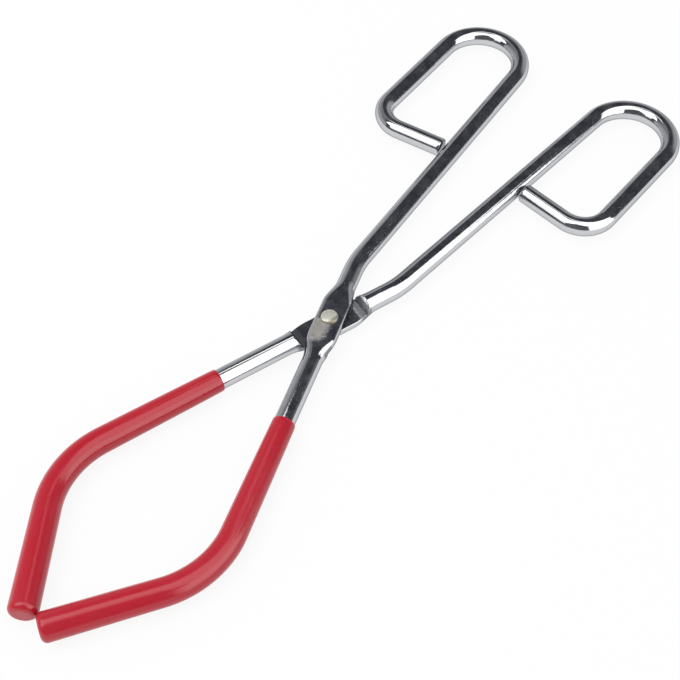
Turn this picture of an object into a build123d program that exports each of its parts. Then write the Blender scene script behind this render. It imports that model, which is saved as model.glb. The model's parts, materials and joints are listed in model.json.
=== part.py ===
from build123d import *
from math import asin, atan2, cos, degrees, hypot, radians, sin, sqrt
import os

# Beaker tongs: two bent steel rods cross at one rivet, like scissors.
# Behind the rivet each rod turns back on itself as a finger loop. In front of
# it the rods bow out and turn in again to close on a beaker, and that jaw
# carries a soft dipped coat that thickens towards the tip.
# Both rods lie in one plane. To let them cross, each one is pressed to half
# its height at the rivet, one from below and the other from above, so the two
# halves lie on each other between the shoulders of the press.
#
# All lengths are in millimetres and all angles in degrees. A lever is drawn
# lying along X, pivot at the origin, handle towards +X and jaw towards -X.

# The rod
rod_diameter = 6.0
cut_end_chamfer = 0.5

# Handle side, followed outwards from the pivot
shank_run = 20.7
shank_bend_radius = 28.0
shank_bend_angle = 14.0
handle_run = 92.8
loop_radius = 13.5
loop_turn = 176.5
return_run = 33.0
corner_radius = 8.9
corner_turn = 96.0
loop_gap = 0.5

# Jaw side, followed outwards from the pivot
jaw_run = 74.2
jaw_bend_radius = 28.4
jaw_bend_angle = 52.0
tip_run = 32.0
tip_gap = 0.3

# The pressed crossing
press_floor_length = 22.0
shoulder_run = 1.6
press_blend_length = 30.0
full_width_length = 12.0
flat_width = 8.6
outer_press = 0.1
edge_round = 0.9
edge_drop = 0.11
side_middle_height = 1.6
flats_gap = 0.1
round_corner_angle = 50.0
press_section_count = 13
stub_section_count = 5

# The rivet
rivet_diameter = 3.4
rivet_head_diameter = 5.2
rivet_head_height = 0.75
rivet_head_edge = 0.2
rivet_crown_flat = 2.2
rivet_swell_width = 4.0
rivet_swell_height = 0.57
rivet_hole_clearance = 0.05
rivet_head_clearance = 0.05

# The dipped coat
coat_start = 37.2
coat_lip_wall = 0.35
coat_side_wall = 1.16
coat_end_wall = 2.0
coat_drain_power = 0.75
coat_lip_round = 0.25
coat_rim_round = 1.8
coat_lip_share = 0.02
coat_section_counts = (6, 6, 5)

# Worked out from the sizes above
rod_radius = rod_diameter / 2
press_blend_half = press_blend_length / 2
press_floor_half = press_floor_length / 2
full_width_half = full_width_length / 2
mating_height = flats_gap / 2
flat_top = rod_radius - outer_press
tip_radius = rod_radius + coat_side_wall


def turned(point, angle):
    """A point or direction of the lever's plane, turned about the pivot."""
    return Vector(*point).rotate(Axis.Z, angle)


def route(start, heading, steps):
    """Tangent straight runs and bends in the plane of the rod, as a list of edges.

    A run is one number, its length. A bend is a pair, its radius and its turn.
    """
    edges = []
    point = Vector(*start)
    direction = turned((1, 0, 0), heading)
    for step in steps:
        if isinstance(step, tuple):
            radius, turn = step
            edge = JernArc(start=point, tangent=direction, radius=radius, arc_size=turn)
        else:
            edge = Line(point, point + direction * step)
        edges.append(edge)
        point = edge @ 1
        direction = edge % 1
    return edges


def tube_along(edges, radius):
    """A round bar that follows a route."""
    path = Wire(edges)
    section = Plane(origin=path @ 0, z_dir=path % 0) * Circle(radius)
    return sweep(section, path=path)


def handle_edges():
    """The centre line from the pressed crossing round the finger loop to the cut end."""
    edges = route(
        (press_blend_half, 0, 0),
        0,
        [
            shank_run - press_blend_half,
            (shank_bend_radius, -shank_bend_angle),
            handle_run,
            (loop_radius, loop_turn),
            return_run,
            (corner_radius, corner_turn),
        ],
    )
    # The last leg points back at its own handle rod and is cut just short of it.
    handle = edges[2]
    corner = edges[-1]
    across = turned(tuple(handle % 0), 90)
    away = (corner @ 1 - handle @ 0).dot(across)
    slant_cosine = -(corner % 1).dot(across)
    slant_sine = sqrt(1 - slant_cosine**2)
    leg_run = (away - rod_radius * (1 + slant_sine) - loop_gap) / slant_cosine
    edges.append(Line(corner @ 1, corner @ 1 + (corner % 1) * leg_run))
    return edges


def jaw_edges(first_run_start, end_run):
    """The centre line of the jaw, from a distance off the pivot to the tip."""
    return route(
        (-first_run_start, 0, 0),
        180,
        [
            jaw_run - first_run_start,
            (jaw_bend_radius, -jaw_bend_angle),
            end_run,
        ],
    )


def flat_half_width(distance):
    """Half the width of the pressed crossing, at a distance from the rivet."""
    share = (press_blend_half - abs(distance)) / (press_blend_half - full_width_half)
    share = min(max(share, 0), 1)
    eased = share * share * (3 - 2 * share)
    return rod_radius + (flat_width / 2 - rod_radius) * eased, eased


def between(low, high, share):
    """A value on the way from low to high."""
    return low + (high - low) * share


def half_section(distance, side):
    """Half of the rod's section at a distance from the rivet, above or below the mating face.

    At the ends of the pressed length it is half of the round rod. Towards the
    rivet both halves widen, and the upper half also flattens and gets square sides.
    """
    half_width, eased = flat_half_width(distance)
    corner_angle = radians(round_corner_angle)
    corner_y = rod_radius * cos(corner_angle)
    corner_z = rod_radius * sin(corner_angle)
    middle_y = rod_radius * cos(corner_angle / 2)
    middle_z = rod_radius * sin(corner_angle / 2)
    crown_z = rod_radius
    root_y = half_width
    if eased == 0:
        root_y = sqrt(rod_radius**2 - mating_height**2)
    elif side > 0:
        corner_y = between(corner_y, flat_width / 2 - edge_round, eased)
        corner_z = between(corner_z, flat_top - edge_drop, eased)
        middle_y = between(middle_y, flat_width / 2, eased)
        middle_z = between(middle_z, side_middle_height, eased)
        crown_z = between(crown_z, flat_top, eased)
    else:
        corner_y = corner_y * half_width / rod_radius
        middle_y = middle_y * half_width / rod_radius
    plane = Plane(origin=(distance, 0, 0), x_dir=(0, 1, 0), z_dir=(1, 0, 0))
    left_root = (-root_y, mating_height)
    left_corner = (-corner_y, side * corner_z)
    right_corner = (corner_y, side * corner_z)
    right_root = (root_y, mating_height)
    outline = [
        Line(left_root, right_root),
        ThreePointArc(right_root, (middle_y, side * middle_z), right_corner),
        ThreePointArc(right_corner, (0, side * crown_z), left_corner),
        ThreePointArc(left_corner, (-middle_y, side * middle_z), left_root),
    ]
    return plane * make_face(outline)


def spread(start, end, count):
    """Evenly spaced places from start to end, with both of them."""
    return [between(start, end, i / (count - 1)) for i in range(count)]


def crossing():
    """The pressed length of an upper lever, with its shoulders."""
    upper_places = spread(-press_blend_half, press_blend_half, press_section_count)
    shape = loft([half_section(place, 1) for place in upper_places])
    shoulder_end = press_floor_half + shoulder_run
    die_profile = Plane.XZ * make_face(
        Polyline(
            (0, mating_height),
            (press_floor_half, mating_height),
            (shoulder_end, -rod_radius),
            (shoulder_end, -rod_diameter),
            (0, -rod_diameter),
            close=True,
        )
    )
    die = extrude(die_profile, flat_width, both=True)
    lower_places = spread(press_floor_half, press_blend_half, stub_section_count)
    stub = loft([half_section(place, -1) for place in lower_places]) - die
    return shape + stub + mirror(stub, about=Plane.YZ)


def lever_rod():
    """A whole lever without its rivet hole, its mating face looking down."""
    handle_path = handle_edges()
    handle = tube_along(handle_path, rod_radius)
    cut_end = handle.faces().sort_by_distance(handle_path[-1] @ 1)[0]
    handle = chamfer(cut_end.edges(), cut_end_chamfer)
    jaw = tube_along(jaw_edges(press_blend_half, tip_run - coat_end_wall), rod_radius)
    return crossing() + handle + jaw


def rivet_hole(diameter):
    """The cutter for the rivet's hole in one lever."""
    return Cylinder(diameter / 2, 2 * rod_diameter)


def jaw_coat():
    """The dipped coat: a tapering skin round the jaw, closed over the end of the rod."""
    edges = jaw_edges(coat_start, tip_run)
    path = Wire(edges)
    # Sections stand at the ends of each run and bend, so the skin follows any bend.
    shares = [0, coat_lip_share]
    walked = 0
    for edge, count in zip(edges, coat_section_counts):
        reached = walked + edge.length / path.length
        shares += spread(walked, reached, count + 1)[1:]
        walked = reached
    rings = []
    for share in shares:
        share = min(share, 1)
        wall = between(coat_lip_wall, coat_side_wall, share**coat_drain_power)
        place = Plane(origin=path @ share, z_dir=path % share, x_dir=(0, 0, 1))
        rings.append(place * Circle(rod_radius + wall))
    skin = loft(rings)
    ends = skin.faces().filter_by(GeomType.PLANE)
    lip = ends.sort_by_distance(path @ 0)[0]
    rim = ends.sort_by_distance(path @ 1)[0]
    skin = fillet(rim.edges(), coat_rim_round)
    skin = fillet(skin.edges().sort_by_distance(lip.center())[0], coat_lip_round)
    core = tube_along(jaw_edges(coat_start - rod_diameter, tip_run - coat_end_wall), rod_radius)
    return skin - core


def rivet_head(seat, side):
    """The half outline of one head, from its middle to the shank, side up or down."""
    head_radius = rivet_head_diameter / 2
    crown_radius = rivet_crown_flat / 2
    crown = seat + side * rivet_head_height
    edge = seat + side * rivet_head_edge
    swell = (rivet_swell_width / 2, seat + side * rivet_swell_height)
    return [
        Line((0, crown), (crown_radius, crown)),
        ThreePointArc((crown_radius, crown), swell, (head_radius, edge)),
        Line((head_radius, edge), (head_radius, seat)),
        Line((head_radius, seat), (rivet_diameter / 2, seat)),
    ]


def rivet():
    """The rivet: a shank through both levers, with a low peened head on each end."""
    upper_seat = flat_top
    lower_seat = -flat_top - rivet_head_clearance
    top = rivet_head(upper_seat, 1)
    bottom = rivet_head(lower_seat, -1)
    shank_side = Line(bottom[-1] @ 1, top[-1] @ 1)
    middle_line = Line(top[0] @ 0, bottom[0] @ 0)
    profile = make_face(top + bottom + [shank_side, middle_line])
    return revolve(Plane.XZ * profile, Axis.Z)


def closed_half_angle():
    """How far a lever turns from the X axis when the two tips meet."""
    tip = jaw_edges(0, tip_run)[-1]
    outwards = tip % 1
    inwards = turned(tuple(outwards), -90)
    corner = tip @ 1 - outwards * coat_rim_round + inwards * (tip_radius - coat_rim_round)
    reach = hypot(corner.X, corner.Y)
    drop = degrees(asin((coat_rim_round + tip_gap / 2) / reach))
    return 180 + drop - degrees(atan2(corner.Y, corner.X))


# The lower lever is the upper one turned over about its own length.
half_angle = closed_half_angle()
plain_lever = lever_rod()
plain_coat = jaw_coat()
turn_over = Rotation(180, 0, 0)

upper_lever = Rotation(0, 0, half_angle) * (plain_lever - rivet_hole(rivet_diameter))
running_hole = rivet_hole(rivet_diameter + 2 * rivet_hole_clearance)
lower_lever = Rotation(0, 0, -half_angle) * turn_over * (plain_lever - running_hole)
upper_coat = Rotation(0, 0, half_angle) * plain_coat
lower_coat = Rotation(0, 0, -half_angle) * turn_over * plain_coat

nodes = {
    "upper_lever": upper_lever,
    "lower_lever": lower_lever,
    "pivot_rivet": rivet(),
    "upper_jaw_coat": upper_coat,
    "lower_jaw_coat": lower_coat,
}

# The origin is under the middle of the whole object, on the surface it lies on.
boxes = [solid.bounding_box() for solid in nodes.values()]
front = min(box.min.X for box in boxes)
back = max(box.max.X for box in boxes)
rod_plane_height = -min(box.min.Z for box in boxes)
middle = (front + back) / 2
to_frame = Pos(-middle, 0, rod_plane_height)

os.makedirs("parts", exist_ok=True)
for name, solid in nodes.items():
    export_step(to_frame * solid, f"parts/{name}.step")

print(f"half angle {half_angle:.3f}, pivot at X {-middle:.4f}, rod plane {rod_plane_height:.4f}")
print(f"length {back - front:.2f}")
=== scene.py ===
import json
from math import cos, pi, radians, sin, sqrt

import bpy
from bpy.props import FloatProperty, FloatVectorProperty, PointerProperty
from mathutils import Matrix, Vector


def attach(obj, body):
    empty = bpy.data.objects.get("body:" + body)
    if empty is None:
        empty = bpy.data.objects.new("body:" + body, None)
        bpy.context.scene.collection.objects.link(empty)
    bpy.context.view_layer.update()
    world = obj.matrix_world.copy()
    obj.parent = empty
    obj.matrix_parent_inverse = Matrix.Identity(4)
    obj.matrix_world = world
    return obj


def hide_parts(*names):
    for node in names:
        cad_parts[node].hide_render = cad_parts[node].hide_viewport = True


bl_info = {
    "name": "Beaker tongs",
    "version": (1, 0, 0),
    "blender": (4, 5, 0),
    "location": "3D View > Sidebar > Tongs",
    "description": "Dresses a pair of beaker tongs: plated levers, a rivet and dipped jaw coats",
    "category": "Add Mesh",
}

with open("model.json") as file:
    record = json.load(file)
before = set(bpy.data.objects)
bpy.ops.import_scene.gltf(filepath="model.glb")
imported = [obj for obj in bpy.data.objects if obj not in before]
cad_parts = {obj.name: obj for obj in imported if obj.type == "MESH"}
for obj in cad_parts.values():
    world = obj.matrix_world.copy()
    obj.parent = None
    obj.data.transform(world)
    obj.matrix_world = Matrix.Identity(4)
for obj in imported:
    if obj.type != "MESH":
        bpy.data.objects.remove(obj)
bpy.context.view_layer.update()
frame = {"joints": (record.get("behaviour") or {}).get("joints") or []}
pivot_joint = frame["joints"][0]
pivot = Vector(pivot_joint["pos_m"])

UPPER, LOWER = 1, -1
BODY = {UPPER: "upper", LOWER: "lower"}


# Properties: the sizes and colours that a user would change


def length(name, description, default):
    return FloatProperty(name=name, description=description, default=default, unit="LENGTH", precision=5)


def angle(name, description, default):
    return FloatProperty(name=name, description=description, default=radians(default), subtype="ANGLE")


def share(name, description, default):
    return FloatProperty(
        name=name, description=description, default=default, subtype="FACTOR", min=0, max=1
    )


def colour(name, description, default):
    return FloatVectorProperty(
        name=name, description=description, default=default, size=3, subtype="COLOR"
    )


class LeverSizes(bpy.types.PropertyGroup):
    """The bent rod of one lever, followed outwards from the rivet."""

    rod_radius: length("Rod radius", "Half the rod's thickness, less 0.01 mm to stay in its box", 0.00299)
    half_angle: angle("Half angle", "How far each lever lies off the long axis when the tips meet", 18.641)
    shank_run: length("Shank run", "Straight rod from the rivet to the gentle bend", 0.0207)
    shank_bend_radius: length("Shank bend radius", "Radius of the gentle bend", 0.028)
    shank_bend: angle("Shank bend", "Turn of the gentle bend", 14.0)
    handle_run: length("Handle run", "Straight handle up to the finger loop", 0.0928)
    loop_radius: length("Loop radius", "Radius of the round end of the finger loop", 0.0135)
    loop_turn: angle("Loop turn", "Turn of the round end of the finger loop", 176.5)
    return_run: length("Return run", "Straight rod on the outer side of the loop", 0.0330)
    corner_radius: length("Corner radius", "Radius of the last corner of the loop", 0.0089)
    corner_turn: angle("Corner turn", "Turn of the last corner of the loop", 96.0)
    loop_gap: length("Loop gap", "Gap between the cut end and the handle rod", 0.0005)
    cut_chamfer: length("Cut chamfer", "Bevel round the cut end", 0.0005)
    jaw_run: length("Jaw run", "Straight rod from the rivet to the jaw bend", 0.0742)
    jaw_bend_radius: length("Jaw bend radius", "Radius of the jaw bend", 0.0284)
    jaw_bend: angle("Jaw bend", "Turn of the jaw bend", 52.0)
    tip_run: length("Tip run", "Straight jaw from the bend to the tip", 0.0320)


class CrossingSizes(bpy.types.PropertyGroup):
    """The pressed length where the levers cross."""

    floor_half: length("Floor half length", "From the rivet to the foot of a shoulder", 0.011)
    shoulder_run: length("Shoulder run", "How far a shoulder leans outwards", 0.0016)
    blend_half: length("Blend half length", "From the rivet to where the rod is round again", 0.015)
    full_width_half: length("Full width half length", "From the rivet to where the flat narrows", 0.006)
    flat_width: length("Flat width", "Width of the pressed flat", 0.0086)
    outer_press: length("Outer press", "How far the outer side is pressed in", 0.0001)
    flats_gap: length("Flats gap", "Gap between the two flats", 0.0001)
    edge_bevel: length("Edge bevel", "Rounded edge of the mating face", 0.00025)


class RivetSizes(bpy.types.PropertyGroup):
    """The rivet that the levers turn on."""

    shank_radius: length("Shank radius", "Half the thickness of the shank", 0.0017)
    head_radius: length("Head radius", "Half the width of a head", 0.0026)
    head_height: length("Head height", "Height of a head over the flat", 0.00075)
    head_clearance: length("Head clearance", "Gap under the lower head", 0.00005)


class CoatSizes(bpy.types.PropertyGroup):
    """The dipped coat on each jaw."""

    start: length("Start", "From the rivet to the upper edge of the coat", 0.0372)
    lip_wall: length("Lip wall", "Thickness at the upper edge", 0.00035)
    side_wall: length("Side wall", "Thickness at the tip", 0.00116)
    end_wall: length("End wall", "Thickness over the end of the rod", 0.002)
    drain_power: share("Drain power", "How fast the coat thickens below its upper edge", 0.75)
    lip_round: length("Lip round", "Rounding of the upper edge", 0.00025)
    rim_round: length("Rim round", "Rounding round the tip", 0.0018)


class Finishes(bpy.types.PropertyGroup):
    """Colours of the finishes."""

    plating: colour("Plating", "Colour of the bright plating", (0.60, 0.605, 0.62))
    scuffed: colour("Scuffed", "Colour of the scuffed patch beside the rivet", (0.46, 0.425, 0.38))
    rivet: colour("Rivet", "Colour of the rivet", (0.64, 0.63, 0.56))
    coat: colour("Coat", "Colour of the dipped coat", (0.45, 0.010, 0.024))
    coat_bloom: colour("Coat bloom", "Colour of the faint bloom on the coat", (0.46, 0.028, 0.045))
    floor: colour("Floor", "Colour of the floor", (0.86, 0.86, 0.86))


class StageSizes(bpy.types.PropertyGroup):
    """The camera and the floor."""

    frame_width: FloatProperty(name="Frame width", description="Picture width in pixels", default=680)
    focal_pixels: FloatProperty(name="Focal length", description="Focal length in pixels", default=1501.2)
    tilt: angle("Tilt", "How far the camera looks off straight down", 37.2784)
    turn: angle("Turn", "How far the tongs are turned in the picture", 51.8732)
    shift_right: length("Shift right", "The rivet's place to the right of the view axis", -0.003056)
    shift_up: length("Shift up", "The rivet's place above the view axis", 0.004947)
    distance: length("Distance", "From the camera to the rivet along the view axis", 0.436678)
    floor_size: length("Floor size", "Width of the floor", 6.0)


GROUPS = {
    "tongs_lever": LeverSizes,
    "tongs_crossing": CrossingSizes,
    "tongs_rivet": RivetSizes,
    "tongs_coat": CoatSizes,
    "tongs_finish": Finishes,
    "tongs_stage": StageSizes,
}


# Shader helpers


class Value:
    """A number in a shader. Arithmetic on it adds Math nodes."""

    def __init__(self, shader, socket):
        self.shader = shader
        self.socket = socket

    def __abs__(self):
        return self.shader.maths("ABSOLUTE", self)

    def __add__(self, other):
        return self.shader.maths("ADD", self, other)

    def __radd__(self, other):
        return self.shader.maths("ADD", other, self)

    def __sub__(self, other):
        return self.shader.maths("SUBTRACT", self, other)

    def __rsub__(self, other):
        return self.shader.maths("SUBTRACT", other, self)

    def __mul__(self, other):
        return self.shader.maths("MULTIPLY", self, other)

    def __rmul__(self, other):
        return self.shader.maths("MULTIPLY", other, self)

    def most(self, other):
        """The larger of two numbers."""
        return self.shader.maths("MAXIMUM", self, other)

    def smooth(self, low, high):
        """0 below low, 1 above high, eased between."""
        settings = {"interpolation_type": "SMOOTHSTEP"}
        return self.shader.add("ShaderNodeMapRange", settings, self, low, high, 0, 1)


class Shader:
    """Adds nodes to one tree."""

    def __init__(self, tree):
        self.tree = tree
        tree.nodes.clear()

    def node(self, kind, settings, *inputs, **named):
        """A new node. Its settings come first, then the values or links of its sockets."""
        node = self.tree.nodes.new(kind)
        for key, setting in settings.items():
            setattr(node, key, setting)
        for key, value in [*enumerate(inputs), *named.items()]:
            socket = node.inputs[key.replace("_", " ") if isinstance(key, str) else key]
            if isinstance(value, Value):
                self.tree.links.new(value.socket, socket)
            elif value is not None:
                socket.default_value = value
        return node

    def add(self, kind, settings, *inputs, out=0, **named):
        """One output of a new node."""
        return Value(self, self.node(kind, settings, *inputs, **named).outputs[out])

    def maths(self, operation, *values):
        return self.add("ShaderNodeMath", {"operation": operation}, *values)

    def mix(self, factor, low, high):
        """A colour between two colours. The five sockets that it skips serve other kinds of value."""
        low, high = [tint if isinstance(tint, Value) else (*tint, 1) for tint in (low, high)]
        skipped = [None] * 5
        return self.add("ShaderNodeMix", {"data_type": "RGBA"}, factor, *skipped, low, high, out=2)

    def noise(self, place, scale, detail=2, roughness=0.5):
        return self.add("ShaderNodeTexNoise", {}, place, Scale=scale, Detail=detail, Roughness=roughness)

    def place(self, stretch=(1, 1, 1), turn=0):
        """A point of the object in metres, stretched and turned for streaks."""
        point = self.add("ShaderNodeTexCoord", {}, out="Object")
        return self.add("ShaderNodeMapping", {}, point, Scale=stretch, Rotation=(0, 0, turn))

    def parts(self, vector):
        """X, Y and Z of a vector."""
        outputs = self.node("ShaderNodeSeparateXYZ", {}, vector).outputs
        return [Value(self, output) for output in outputs]

    def rays(self):
        """1 for what the camera sees, for what gloss mirrors and for what shows through glass."""
        outputs = self.node("ShaderNodeLightPath", {}).outputs
        kinds = ("Is Camera Ray", "Is Glossy Ray", "Is Transmission Ray")
        return [Value(self, outputs[kind]) for kind in kinds]

    def bump(self, height):
        """The normal of a surface with this height in metres."""
        return self.add("ShaderNodeBump", {}, Strength=1, Distance=1, Height=height)

    def show(self, surface):
        """Links a surface to the material's output."""
        self.node("ShaderNodeOutputMaterial", {}, surface)

    def principled(self, **inputs):
        """The Principled shader, linked to the output."""
        self.show(self.add("ShaderNodeBsdfPrincipled", {}, **inputs))


def new_material(name):
    material = bpy.data.materials.new(name)
    material.use_nodes = True
    return material, Shader(material.node_tree)


# Finishes

COOL_PLATING = (0.50, 0.52, 0.57)
PIT_GLINT = (0.78, 0.78, 0.80)
BRUSHED_STEEL = (0.17, 0.175, 0.19)
RUBBED_GROOVE = (0.17, 0.16, 0.145)
GRAZING_TINT = (0.42, 0.43, 0.46, 1)
RIVET_DULL = (0.60, 0.58, 0.50)
RIVET_SHADE = (0.20, 0.19, 0.15)
# Painted brownish shade on the lower side of the rivet heads
RIVET_BROWN_SHADE = (0.22, 0.16, 0.09)
# Painted shade in the crevice where each rivet head meets the flat
RIVET_FOOT_SHADE = (0.20, 0.16, 0.10)

# Strokes of the scuffed patch: waves a metre along the lever, how they slant, and waves across it
STROKE_WAVES, STROKE_SLANT, STROKE_BREAKS = 5200, 1500, 620

# Stretch of the fine rub marks, their slant, and how far each lever's slant is turned from it
RUB_STRETCH = (700, 5200, 900)
RUB_SLANT, RUB_TURN = radians(62), radians(18)

# The pressed floor curls up over this length, by the gain times the length squared
CURL_RUN, CURL_GAIN = 0.0042, 20.0

# Headings from the rivet's axis to the two sides of its heads that get painted shade, grey and brownish
SHADED_SIDE = (-0.12, -0.99)
BROWN_SHADE_SIDE = (-0.787, -0.616)


def lever_place(shader, side):
    """Along and across a lever in metres from the rivet, and the height over the rod plane."""
    turn = bpy.context.scene.tongs_lever.half_angle * side
    x, y, z = shader.parts(shader.place())
    along = (x - pivot.x) * cos(turn) + (y - pivot.y) * sin(turn)
    across = ((y - pivot.y) * cos(turn) - (x - pivot.x) * sin(turn)) * side
    return along, across, (z - pivot.z) * side


def scuffed_patch(shader, along, across, height):
    """Where the flat is rubbed dull: fine strokes across it, on the jaw side of the rivet."""
    waves = along * STROKE_WAVES + across * STROKE_SLANT
    strokes = shader.add("ShaderNodeCombineXYZ", {}, waves, across * STROKE_BREAKS, 0)
    stroke = shader.noise(strokes, 1, detail=4, roughness=0.7)
    cloud = shader.noise(shader.place(), 520, detail=3, roughness=0.6)
    jaw_end = along.smooth(-0.0112, -0.0072)
    rivet_end = 1 - along.smooth(-0.0024, -0.0004)
    edges = (1 - across.smooth(0.0036, 0.0046)) * across.smooth(-0.0040, 0.0026)
    reach = jaw_end * rivet_end * edges * height.smooth(0.0024, 0.0028)
    worn = (reach + (stroke - 0.5) * 1.3 + (cloud - 0.5) * 0.9).smooth(0.05, 1.15)
    return worn * reach.smooth(0.0, 0.45), stroke


def curled_floor(along, height):
    """The height that the pressed floor gains towards its shoulders."""
    foot = bpy.context.scene.tongs_crossing.floor_half
    off = abs(along)
    climb = (off - (foot - CURL_RUN)).most(0)
    inside = 1 - off.smooth(foot - 0.0002, foot)
    level = 1 - abs(height).smooth(0.0003, 0.0006)
    return climb * climb * inside * level * CURL_GAIN


def pressed_root(along, height):
    """1 where the press has left the shoulder and the floor before it brushed."""
    foot = bpy.context.scene.tongs_crossing.floor_half
    off = abs(along)
    near = off.smooth(foot - 0.0030, foot - 0.0012)
    far = 1 - off.smooth(foot + 0.0012, foot + 0.0022)
    return near * far * (1 - abs(height).smooth(0.0018, 0.0024))


def plated_steel(name, side):
    """Bright plating with a faint ripple, grit and fine rub marks."""
    finish = bpy.context.scene.tongs_finish
    material, shader = new_material(name)
    place = shader.place()
    ripple = shader.noise(place, 240, detail=2)
    blotch = shader.noise(place, 900, detail=3, roughness=0.6)
    grit = shader.noise(place, 4200, detail=2)
    pits = shader.noise(place, 2600, detail=1).smooth(0.70, 0.78)
    haze = shader.noise(place, 300, detail=4, roughness=0.55).smooth(0.30, 0.80)
    turned = shader.place(stretch=RUB_STRETCH, turn=RUB_SLANT - side * RUB_TURN)
    hairs = shader.noise(turned, 1, detail=1).smooth(0.64, 0.74)
    hairs = hairs * shader.noise(place, 160, detail=1).smooth(0.48, 0.62)
    along, across, level = lever_place(shader, side)
    brushed = pressed_root(along, level)
    tint = shader.mix(blotch.smooth(0.42, 0.72) * 0.35, tuple(finish.plating), COOL_PLATING)
    tint = shader.mix(pits * 0.35, tint, PIT_GLINT)
    tint = shader.mix(brushed * 0.75, tint, BRUSHED_STEEL)
    rough = 0.035 + 0.05 * blotch + 0.10 * hairs + 0.25 * pits + 0.26 * brushed
    metal = 1 - haze * 0.06
    height = ripple * 0.00004 + blotch * 0.000004 + grit * 0.0000008 + hairs * 0.0000012
    height = height + curled_floor(along, level)
    if side == UPPER:
        worn, stroke = scuffed_patch(shader, along, across, level)
        rubbed = shader.mix(stroke.smooth(0.38, 0.60), RUBBED_GROOVE, tuple(finish.scuffed))
        tint = shader.mix(worn, tint, rubbed)
        rough = rough + worn * 0.42
        metal = metal * (1 - worn * 0.62)
        height = height + stroke * worn * 0.00001
    shader.principled(
        Base_Color=tint,
        Metallic=metal,
        Roughness=rough,
        Normal=shader.bump(height),
        Specular_Tint=GRAZING_TINT,
    )
    return material


def towards(x, y, heading):
    """How far a point lies from the rivet's axis along a heading, in metres."""
    return heading[0] * (x - pivot.x) + heading[1] * (y - pivot.y)


def peened_metal(name):
    """The rivet: dull pale metal with shallow hammer marks, and painted shade: a shaded side, a brownish
    lower side and a dark foot.
    """
    finish = bpy.context.scene.tongs_finish
    material, shader = new_material(name)
    place = shader.place()
    marks = shader.noise(place, 700, detail=2)
    fine = shader.noise(place, 4200, detail=3)
    x, y, z = shader.parts(place)
    # foot is 1 at the foot of each head, where the colour gets painted shade for the crevice
    foot = 1 - (abs(z - pivot.z) + (marks - 0.5) * 0.0003).smooth(0.0030, 0.0033)
    shade = (towards(x, y, SHADED_SIDE) + (marks - 0.5) * 0.0006).smooth(0.0009, 0.0018)
    # Painted brownish shade towards the lower side of the heads
    brown_shade = (towards(x, y, BROWN_SHADE_SIDE) + (fine - 0.5) * 0.0008).smooth(0.0016, 0.0024)
    tint = shader.mix(marks.smooth(0.3, 0.7), tuple(finish.rivet), RIVET_DULL)
    tint = shader.mix(shade * 0.80, tint, RIVET_SHADE)
    tint = shader.mix(brown_shade * 0.60, tint, RIVET_BROWN_SHADE)
    tint = shader.mix(foot * 0.8, tint, RIVET_FOOT_SHADE)
    rough = 0.30 + 0.22 * fine
    height = marks * 0.00012 + fine * 0.000006
    shader.principled(Base_Color=tint, Metallic=0.55, Roughness=rough, Normal=shader.bump(height))
    return material


def dipped_vinyl(name):
    """The red coat: soft gloss with a slow unevenness from dipping and a faint bloom."""
    finish = bpy.context.scene.tongs_finish
    material, shader = new_material(name)
    place = shader.place()
    slow = shader.noise(place, 70, detail=2)
    fine = shader.noise(place, 1100, detail=3)
    specks = shader.noise(place, 3000, detail=1).smooth(0.70, 0.77)
    bloom = slow.smooth(0.35, 0.75) * 0.30 + fine * 0.10
    tint = shader.mix(bloom, tuple(finish.coat), tuple(finish.coat_bloom))
    rough = 0.13 + 0.07 * slow + 0.06 * fine
    height = slow * 0.00022 + fine * 0.000004 + specks * 0.000004
    shader.principled(Base_Color=tint, Roughness=rough, IOR=1.50, Normal=shader.bump(height))
    return material


# Geometry helpers

STATION_SPACING = 0.001
FEWEST_BEND_STATIONS = 8


def eased(low, high, value):
    """0 at low, 1 at high, smooth between."""
    part = min(max((value - low) / (high - low), 0), 1)
    return part * part * (3 - 2 * part)


def walk(start, heading, steps):
    """Points and headings along tangent runs and bends in the plane of the levers.

    A run is one length. A bend is a radius and a turn, positive to the left. Its points lie
    twice as close as those of a run.
    """
    stations = [(start.copy(), heading)]
    point = start.copy()
    for step in steps:
        if isinstance(step, tuple):
            radius, turn = step
            count = max(FEWEST_BEND_STATIONS, round(abs(turn) * radius / (STATION_SPACING / 2)))
            side = 1 if turn > 0 else -1
            centre = point + Vector((-sin(heading), cos(heading), 0)) * radius * side
            for index in range(1, count + 1):
                facing = heading + turn * index / count
                offset = Vector((sin(facing), -cos(facing), 0)) * radius * side
                stations.append((centre + offset, facing))
            heading += turn
        else:
            direction = Vector((cos(heading), sin(heading), 0))
            count = max(1, round(step / STATION_SPACING))
            for index in range(1, count + 1):
                stations.append((point + direction * step * index / count, heading))
        point = stations[-1][0].copy()
    return stations


def ring_at(point, heading, section):
    """A ring in space, from a section given as sideways and upward offsets."""
    sideways = Vector((-sin(heading), cos(heading), 0))
    return [point + sideways * u + Vector((0, 0, v)) for u, v in section]


def skin(name, rings):
    """A closed mesh over rings with the same number of points."""
    count = len(rings[0])
    vertices = [vertex for ring in rings for vertex in ring]
    faces = []
    for index in range(len(rings) - 1):
        low, high = index * count, (index + 1) * count
        for side in range(count):
            after = (side + 1) % count
            faces.append((low + side, low + after, high + after, high + side))
    faces.append(tuple(range(count))[::-1])
    faces.append(tuple(range((len(rings) - 1) * count, len(rings) * count)))
    mesh = bpy.data.meshes.new(name)
    mesh.from_pydata(vertices, [], faces)
    mesh.validate()
    mesh.update()
    return mesh


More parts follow.
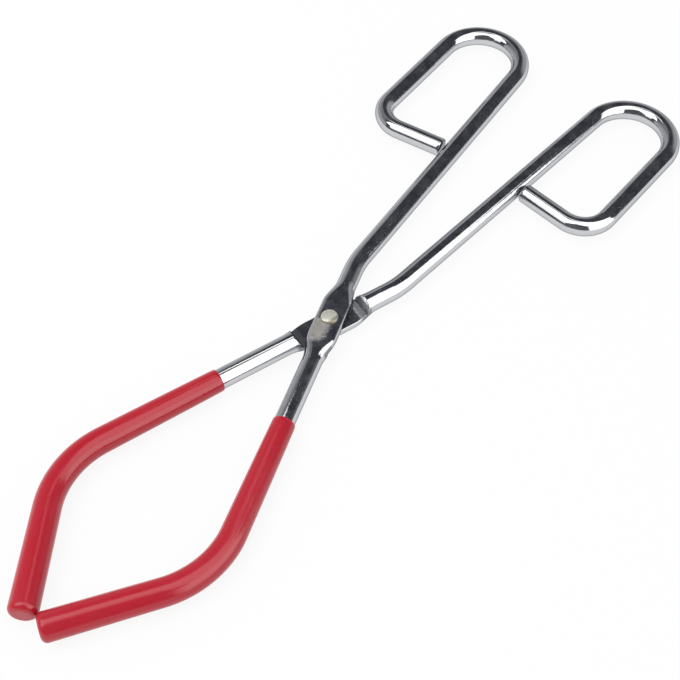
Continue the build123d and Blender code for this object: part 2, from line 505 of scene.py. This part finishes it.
def finish_piece(name, mesh, side, material, sharp=40):
    """Turns a mesh into its lever's place and makes it a piece that moves with the lever."""
    turn_over = Matrix.Rotation(pi, 4, "X") if side == LOWER else Matrix.Identity(4)
    half_angle = bpy.context.scene.tongs_lever.half_angle
    place = Matrix.Translation(pivot) @ Matrix.Rotation(half_angle * side, 4, "Z") @ turn_over
    mesh.transform(place)
    mesh.update()
    for polygon in mesh.polygons:
        polygon.use_smooth = True
    mesh.set_sharp_from_angle(angle=radians(sharp))
    mesh.materials.append(material)
    piece = bpy.data.objects.new(name, mesh)
    bpy.context.scene.collection.objects.link(piece)
    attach(piece, BODY[side])
    return piece


# The lever: one bent rod, pressed to half its height at the rivet

RING_POINTS = 72
ROOT_ANGLE = radians(6)
SIDE_POWER = 5
NEAR_ZERO = 1e-9

# The root edge's bevel as a share of the mating face's, and the length over which it fades
ROOT_BEVEL_SHARE = 0.3
CLAMP_EASE = 0.0003

# Rings between two marks of the pressed length, and the rings that round the cut end
PRESSED_RING_SPACING = 0.0002
FEWEST_PRESSED_RINGS = 6
CUT_END_PARTS = (0.5, 1.0)


def round_section(radius):
    """A circle, sampled at the same places as a pressed section."""
    return [(radius * cos(turn), radius * sin(turn)) for turn in ring_turns()]


def ring_turns():
    """Sample angles: the upper half, the two root edges and the lower half."""
    half = RING_POINTS // 2 - 1
    upper = [ROOT_ANGLE + (pi - 2 * ROOT_ANGLE) * index / (half - 1) for index in range(half)]
    lower = [pi + turn for turn in upper]
    return [0, *upper, pi, *lower]


def pressed_section(distance, rod_radius):
    """The section of an upper lever near the rivet, mating face down."""
    sizes = bpy.context.scene.tongs_crossing
    widest = sizes.flat_width / 2
    mating = sizes.flats_gap / 2
    flat_top = rod_radius - sizes.outer_press
    off = abs(distance)
    swell = 1 - eased(sizes.full_width_half, sizes.blend_half, off)
    clamped = 1 - eased(sizes.floor_half, sizes.floor_half + CLAMP_EASE, off)
    half_width = rod_radius + (widest - rod_radius) * swell
    if off <= sizes.floor_half:
        floor_level = mating
    else:
        climb = (off - sizes.floor_half) / sizes.shoulder_run
        floor_level = mating - climb * (rod_radius + mating)
    bevel = sizes.edge_bevel
    section = []
    for turn in ring_turns():
        u, v = cos(turn), sin(turn)
        if abs(v) < NEAR_ZERO:
            sideways = half_width - bevel * ROOT_BEVEL_SHARE * clamped
            upward = (mating + bevel * ROOT_BEVEL_SHARE) * clamped
            section.append((sideways * u, upward))
        elif v > 0:
            reach = (turn - ROOT_ANGLE) / (pi - 2 * ROOT_ANGLE) * pi
            square_u = abs(cos(reach)) ** (2 / SIDE_POWER) * (1 if cos(reach) >= 0 else -1)
            square_v = sin(reach) ** (2 / SIDE_POWER)
            rise = mating + bevel
            flat_u = widest * square_u
            flat_v = rise + (flat_top - rise) * square_v
            sideways = rod_radius * u + (flat_u - rod_radius * u) * swell
            upward = rod_radius * v + (flat_v - rod_radius * v) * swell
            section.append((sideways, upward))
        else:
            sideways = half_width * u * (1 - clamped * bevel / half_width)
            section.append((sideways, max(rod_radius * v, floor_level)))
    return section


def lever_steps(sizes):
    """The handle route of a lever, from the pressed length to its cut end."""
    blend_half = bpy.context.scene.tongs_crossing.blend_half
    steps = [
        sizes.shank_run - blend_half,
        (sizes.shank_bend_radius, -sizes.shank_bend),
        sizes.handle_run,
        (sizes.loop_radius, sizes.loop_turn),
        sizes.return_run,
        (sizes.corner_radius, sizes.corner_turn),
    ]
    start = Vector((blend_half, 0, 0))
    stations = walk(start, 0, steps)
    corner, facing = stations[-1]
    handle_facing = -sizes.shank_bend
    shank_end = walk(start, 0, steps[:2])[-1][0]
    across = Vector((-sin(handle_facing), cos(handle_facing), 0))
    away = (corner - shank_end).dot(across)
    leaning = Vector((cos(facing), sin(facing), 0)).dot(across)
    slant = sqrt(1 - leaning**2)
    leg_run = (away - sizes.rod_radius * (1 + slant) - sizes.loop_gap) / -leaning
    return steps + [leg_run]


def lever_rings():
    """All the rings of one lever, from the end of the jaw rod to the cut end."""
    scene = bpy.context.scene
    sizes, crossing, coat = scene.tongs_lever, scene.tongs_crossing, scene.tongs_coat
    blend_half = crossing.blend_half
    circle = round_section(sizes.rod_radius)
    jaw_steps = [
        sizes.jaw_run - blend_half,
        (sizes.jaw_bend_radius, -sizes.jaw_bend),
        sizes.tip_run - coat.end_wall,
    ]
    jaw = walk(Vector((-blend_half, 0, 0)), pi, jaw_steps)
    rings = [ring_at(point, facing + pi, circle) for point, facing in reversed(jaw)]
    foot, head = crossing.floor_half, crossing.floor_half + crossing.shoulder_run
    marks = [-blend_half, -head, -foot, foot, head, blend_half]
    distances = []
    for low, high in zip(marks, marks[1:]):
        count = max(FEWEST_PRESSED_RINGS, round((high - low) / PRESSED_RING_SPACING))
        distances += [low + (high - low) * index / count for index in range(count)]
    for distance in distances[1:]:
        rings.append(ring_at(Vector((distance, 0, 0)), 0, pressed_section(distance, sizes.rod_radius)))
    handle = walk(Vector((blend_half, 0, 0)), 0, lever_steps(sizes))
    rings += [ring_at(point, facing, circle) for point, facing in handle]
    end, facing = handle[-1]
    back = Vector((cos(facing), sin(facing), 0)) * sizes.cut_chamfer
    rings[-1] = ring_at(end - back, facing, circle)
    for part in CUT_END_PARTS:
        shrunk = round_section(sizes.rod_radius - sizes.cut_chamfer * (1 - cos(part * pi / 2)))
        rings.append(ring_at(end - back * (1 - sin(part * pi / 2)), facing, shrunk))
    return rings


def build_lever(side):
    """One plated lever."""
    name = BODY[side]
    mesh = skin(f"{name}_lever_rod", lever_rings())
    material = plated_steel(f"{name}_lever_plating", side)
    piece = finish_piece(f"{name}_lever_rod", mesh, side, material)
    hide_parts(f"{name}_lever")


# The coat: a skin round the jaw that thickens towards the tip

# Clearance of the hollow round the rod
COAT_FIT = 0.00001

# Rings that round the upper edge, that round the tip, and that fill the tip's flat face
LIP_PARTS = (0, 0.25, 0.5, 0.75)
RIM_STEPS = 12
TIP_FACE_PARTS = (0.66, 0.33)


def coat_rings():
    """Rings up the coat's hollow, over its upper edge and down its outside to the tip."""
    scene = bpy.context.scene
    sizes, coat = scene.tongs_lever, scene.tongs_coat
    steps = [sizes.jaw_run - coat.start, (sizes.jaw_bend_radius, -sizes.jaw_bend), sizes.tip_run]
    stations = walk(Vector((-coat.start, 0, 0)), pi, steps)
    runs = [0]
    for (before, _), (after, _) in zip(stations, stations[1:]):
        runs.append(runs[-1] + (after - before).length)
    total = runs[-1]

    def wall(run):
        return coat.lip_wall + (coat.side_wall - coat.lip_wall) * (run / total) ** coat.drain_power

    hollow = round_section(sizes.rod_radius + COAT_FIT)
    inner = [
        ring_at(point, facing, hollow)
        for (point, facing), run in zip(stations, runs)
        if run <= total - coat.end_wall
    ]
    rings = inner[::-1]
    first, facing = stations[0]
    direction = Vector((cos(facing), sin(facing), 0))
    for part in LIP_PARTS:
        turn = part * pi / 2
        radius = sizes.rod_radius + wall(0) - coat.lip_round * (1 - sin(turn))
        point = first + direction * (coat.lip_round - coat.lip_round * cos(turn))
        rings.append(ring_at(point, facing, round_section(radius)))
    for (point, facing), run in zip(stations, runs):
        if coat.lip_round <= run <= total - coat.rim_round:
            rings.append(ring_at(point, facing, round_section(sizes.rod_radius + wall(run))))
    tip, facing = stations[-1]
    direction = Vector((cos(facing), sin(facing), 0))
    outer = sizes.rod_radius + wall(total - coat.rim_round)
    for step in range(RIM_STEPS + 1):
        turn = step / RIM_STEPS * pi / 2
        radius = outer - coat.rim_round * (1 - cos(turn))
        point = tip - direction * coat.rim_round * (1 - sin(turn))
        rings.append(ring_at(point, facing, round_section(radius)))
    for part in TIP_FACE_PARTS:
        rings.append(ring_at(tip, facing, round_section((outer - coat.rim_round) * part)))
    return rings


def build_coat(side):
    """One coat, with its hollow for the rod."""
    name = BODY[side]
    mesh = skin(f"{name}_jaw_dip", coat_rings())
    material = dipped_vinyl(f"{name}_coat_vinyl")
    piece = finish_piece(f"{name}_jaw_dip", mesh, side, material, sharp=60)
    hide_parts(f"{name}_jaw_coat")


# The rivet

DOME_STEPS = 10
DOME_SIDE_POWER, DOME_CROWN_POWER = 0.55, 0.9
RIVET_POINTS = 56

# Dents round a hammered head: how many, their depth as a share of the radius, and their phase
DENTS = ((3, 0.018, 0.6), (5, 0.012, 2))


def rivet_profile():
    """Radius and height from the bottom crown to the top crown."""
    scene = bpy.context.scene
    sizes, crossing, lever = scene.tongs_rivet, scene.tongs_crossing, scene.tongs_lever
    flat_top = lever.rod_radius - crossing.outer_press
    upper_seat, lower_seat = flat_top, -flat_top - sizes.head_clearance
    turns = [index / DOME_STEPS * pi / 2 for index in range(DOME_STEPS)]
    dome = [(cos(turn) ** DOME_SIDE_POWER, sin(turn) ** DOME_CROWN_POWER) for turn in turns]
    profile = []
    for reach, rise in reversed(dome):
        profile.append((sizes.head_radius * reach, lower_seat - sizes.head_height * rise))
    profile += [(sizes.shank_radius, lower_seat), (sizes.shank_radius, upper_seat)]
    for reach, rise in dome:
        profile.append((sizes.head_radius * reach, upper_seat + sizes.head_height * rise))
    return profile


def build_rivet():
    """The rivet's shank with its two hammered heads."""
    rings = []
    for radius, height in rivet_profile():
        ring = []
        for index in range(RIVET_POINTS):
            turn = 2 * pi * index / RIVET_POINTS
            dented = radius * (1 + sum(depth * sin(count * turn + phase) for count, depth, phase in DENTS))
            ring.append(Vector((dented * cos(turn), dented * sin(turn), height)))
        rings.append(ring)
    mesh = skin("rivet_metal", rings)
    piece = finish_piece("rivet_heads", mesh, UPPER, peened_metal("rivet_peened"), sharp=50)
    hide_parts("pivot_rivet")


# The stage

WHITE = (1, 1, 1, 1)
FLOOR_GRAIN = (0.82, 0.82, 0.82)
FLOOR_DROP = 0.0002
FLOOR_WHITE_SHARE = 0.9

# The room's light as a share of white: on plain surfaces, and below the horizon in gloss
ROOM_LEVEL, FLOOR_SIDE_LEVEL = 0.78, 0.80

# Brightness of the lamp faces, as a multiple of white
SIDE_LAMP_LEVEL, TOP_LAMP_LEVEL = 3.0, 2.1


def camera_frame(stage):
    """The camera's rotation and place, from how it sees the tongs."""
    turned = Matrix.Rotation(stage.turn, 3, "Z")
    tilted = Matrix.Rotation(-stage.tilt, 3, "X")
    seen = tilted @ turned
    shift = Vector((stage.shift_right, stage.shift_up, -stage.distance))
    place = -(seen.transposed() @ shift)
    return seen.transposed(), place + pivot


def build_camera(stage):
    data = bpy.data.cameras.new("camera")
    data.sensor_width = 36
    data.lens = stage.focal_pixels / stage.frame_width * data.sensor_width
    data.clip_start = 0.01
    data.clip_end = 50
    camera = bpy.data.objects.new("camera", data)
    bpy.context.scene.collection.objects.link(camera)
    rotation, place = camera_frame(stage)
    camera.matrix_world = Matrix.Translation(place) @ rotation.to_4x4()
    bpy.context.scene.camera = camera


def flat_panel(name, corners, material):
    """A flat panel through four corners."""
    mesh = bpy.data.meshes.new(name)
    mesh.from_pydata(corners, [], [(0, 1, 2, 3)])
    mesh.materials.append(material)
    panel = bpy.data.objects.new(name, mesh)
    bpy.context.scene.collection.objects.link(panel)
    return panel


def build_floor(stage):
    """Pale paper under the tongs, near white to the eye and in reflections."""
    material, shader = new_material("floor_paper")
    seen, mirrored, through = shader.rays()
    grain = shader.noise(shader.place(), 400)
    tint = shader.mix(grain * 0.1, tuple(bpy.context.scene.tongs_finish.floor), FLOOR_GRAIN)
    paper = shader.add("ShaderNodeBsdfDiffuse", {}, tint)
    white = shader.add("ShaderNodeEmission", {}, WHITE, 1)
    share_white = seen.most(mirrored).most(through) * FLOOR_WHITE_SHARE
    shader.show(shader.add("ShaderNodeMixShader", {}, share_white, paper, white))
    half = stage.floor_size / 2
    corners = [(-half, -half, 0), (half, -half, 0), (half, half, 0), (-half, half, 0)]
    floor = flat_panel("floor", corners, material)
    floor.location.z = -FLOOR_DROP


def build_world():
    """A pale room to the eye, and a dark one with a pale far side to the plating."""
    world = bpy.data.worlds.new("room")
    bpy.context.scene.world = world
    world.use_nodes = True
    shader = Shader(world.node_tree)
    seen, mirrored, through = shader.rays()
    seen = seen.most(through)
    x, y, z = shader.parts(shader.add("ShaderNodeTexCoord", {}, out="Generated"))
    north = (y - 0.3 * x.most(0)).smooth(0.42, 0.50)
    corner = (1 - y.smooth(0.62, 0.72)) * (1 - x.smooth(-0.15, 0.05))
    far_side = (0.46 - 0.22 * z.smooth(0.40, 0.60)) * (1 - 0.88 * corner)
    near_side = 0.045 + 0.40 * x.smooth(0.70, 0.90) + 0.06 * (-1 * x).smooth(0.30, 0.60)
    raised = z.smooth(-0.10, 0.14)
    room = far_side * north + near_side * (1 - north)
    room = room * raised + FLOOR_SIDE_LEVEL * (1 - raised)
    level = room * mirrored + seen + ROOM_LEVEL * (1 - mirrored.most(seen))
    grey = shader.add("ShaderNodeCombineXYZ", {}, level, level + 0.002, level + 0.012)
    shader.node("ShaderNodeOutputWorld", {}, shader.add("ShaderNodeBackground", {}, grey, 1))


def build_card(name, corners, level, pattern):
    """A lamp's face that only shows in gloss.

    Its corners are in metres from the rivet. The pattern gives its brightness from 0 to 1.
    """
    material, shader = new_material(name)
    place = [part - middle for part, middle in zip(shader.parts(shader.place()), pivot)]
    face = shader.add("ShaderNodeEmission", {}, WHITE, level)
    clear = shader.add("ShaderNodeBsdfTransparent", {}, WHITE)
    shader.show(shader.add("ShaderNodeMixShader", {}, pattern(place), clear, face))
    card = flat_panel(name, [pivot + Vector(corner) for corner in corners], material)
    card.visible_camera = False
    card.visible_diffuse = False
    card.visible_transmission = False
    card.visible_shadow = False


def side_pattern(place):
    """The upright lamp beside the tongs, with soft edges."""
    x, _, z = place
    return x.smooth(-0.28, -0.20) * (1 - x.smooth(0.36, 0.46)) * z.smooth(-0.04, 0.08)


def top_pattern(place):
    """The lamp overhead, wider towards the upright one, with a strip and a tube beside it."""
    x, y, _ = place
    slanted_end = (0.77 * x + 0.64 * y).smooth(0.06, 0.13)
    main = x.smooth(-0.18, -0.12) * (1 - slanted_end) * (1 - y.smooth(0.19, 0.25))
    strip = (y + 0.10 * x).smooth(0.08, 0.13) * (1 - (y + 0.42 * x).smooth(0.20, 0.26))
    strip = strip * (1 - x.smooth(-0.14, -0.08)) * x.smooth(-1.05, -0.95)
    tube = x.smooth(0.155, 0.185) * (1 - x.smooth(0.205, 0.235)) * y.smooth(-0.16, -0.08)
    tube = tube * (1 - y.smooth(0.26, 0.36))
    return main.most(strip * 0.7).most(tube * 0.9)


def build_cards():
    """The two lamp faces half a metre off, as the plating shows them."""
    side_left, top_left, right = -0.3, -1.1, 0.6
    near, far = -0.5, 0.7
    low, high = -0.004, 0.5
    side = [(side_left, near, low), (right, near, low), (right, near, high), (side_left, near, high)]
    top = [(top_left, near, high), (right, near, high), (right, far, high), (top_left, far, high)]
    build_card("side_lamp_face", side, SIDE_LAMP_LEVEL, side_pattern)
    build_card("top_lamp_face", top, TOP_LAMP_LEVEL, top_pattern)


def build_lamps():
    """One large soft lamp from above, so that forms turn gently."""
    data = bpy.data.lights.new("soft_lamp", "AREA")
    data.shape = "RECTANGLE"
    data.size = 0.9
    data.size_y = 0.9
    data.energy = 7
    lamp = bpy.data.objects.new("soft_lamp", data)
    lamp.location = (-0.45, 0.35, 1.1)
    lamp.rotation_mode = "QUATERNION"
    lamp.rotation_quaternion = lamp.location.to_track_quat("Z", "Y")
    bpy.context.scene.collection.objects.link(lamp)


# Operators


class BuildLevers(bpy.types.Operator):
    """Build the two plated levers."""

    bl_idname = "tongs.build_levers"
    bl_label = "Build levers"

    def execute(self, context):
        for side in (UPPER, LOWER):
            build_lever(side)
        return {"FINISHED"}


class BuildCoats(bpy.types.Operator):
    """Build the dipped coats on the two jaws."""

    bl_idname = "tongs.build_coats"
    bl_label = "Build jaw coats"

    def execute(self, context):
        for side in (UPPER, LOWER):
            build_coat(side)
        return {"FINISHED"}


class BuildRivet(bpy.types.Operator):
    """Build the rivet with its two heads."""

    bl_idname = "tongs.build_rivet"
    bl_label = "Build rivet"

    def execute(self, context):
        build_rivet()
        return {"FINISHED"}


class BuildStage(bpy.types.Operator):
    """Build the floor, the room's light and the camera."""

    bl_idname = "tongs.build_stage"
    bl_label = "Build stage"

    def execute(self, context):
        stage = context.scene.tongs_stage
        build_floor(stage)
        build_world()
        build_cards()
        build_lamps()
        build_camera(stage)
        context.scene.view_settings.view_transform = "Standard"
        return {"FINISHED"}


OPERATORS = (BuildLevers, BuildCoats, BuildRivet, BuildStage)


class TongsPanel(bpy.types.Panel):
    """Lists the steps that dress the tongs."""

    bl_idname = "VIEW3D_PT_tongs"
    bl_label = "Beaker tongs"
    bl_space_type = "VIEW_3D"
    bl_region_type = "UI"
    bl_category = "Tongs"

    def draw(self, context):
        for operator in OPERATORS:
            self.layout.operator(operator.bl_idname)
        for group in GROUPS:
            box = self.layout.box()
            settings = getattr(context.scene, group)
            for name in settings.__annotations__:
                box.prop(settings, name)


def register():
    for name, group in GROUPS.items():
        bpy.utils.register_class(group)
        setattr(bpy.types.Scene, name, PointerProperty(type=group))
    for operator in OPERATORS:
        bpy.utils.register_class(operator)
    bpy.utils.register_class(TongsPanel)


def unregister():
    bpy.utils.unregister_class(TongsPanel)
    for operator in reversed(OPERATORS):
        bpy.utils.unregister_class(operator)
    for name, group in reversed(GROUPS.items()):
        delattr(bpy.types.Scene, name)
        bpy.utils.unregister_class(group)


def main():
    register()
    bpy.ops.tongs.build_levers()
    bpy.ops.tongs.build_coats()
    bpy.ops.tongs.build_rivet()
    bpy.ops.tongs.build_stage()
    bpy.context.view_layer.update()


if __name__ == "__main__":
    main()
